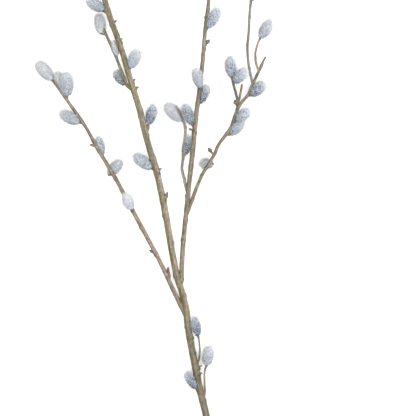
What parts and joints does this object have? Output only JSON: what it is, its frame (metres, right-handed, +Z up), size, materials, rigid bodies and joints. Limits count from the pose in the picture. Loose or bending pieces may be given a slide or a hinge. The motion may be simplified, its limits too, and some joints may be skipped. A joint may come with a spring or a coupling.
{
  "type": "willow branch",
  "caption": "Cut pussy willow branch lying on a surface: a forked woody stem with slender side shoots, buds and soft silvery catkins along them.",
  "frame": {"origin": "middle of the branch's own box on the surface it lies on", "axes": "+Z up from the surface, +Y along the branch from its cut end towards its tips, +X to the right seen from above"},
  "size_m": [0.2432, 0.6907, 0.0328],
  "materials": {
    "olive_bark": "matte",
    "tan_bark": "matte",
    "mauve_bark": "matte",
    "green_bark": "satin",
    "catkin_silk": "matte",
    "bud_scale": "satin"
  },
  "bodies": {
    "root": {"main_stem": "olive_bark", "left_shoot": "tan_bark", "right_shoot": "mauve_bark", "upper_twig": "olive_bark", "wavy_twig": "olive_bark", "side_shoot": "mauve_bark", "long_twig": "green_bark"}
  },
  "joints": []
}
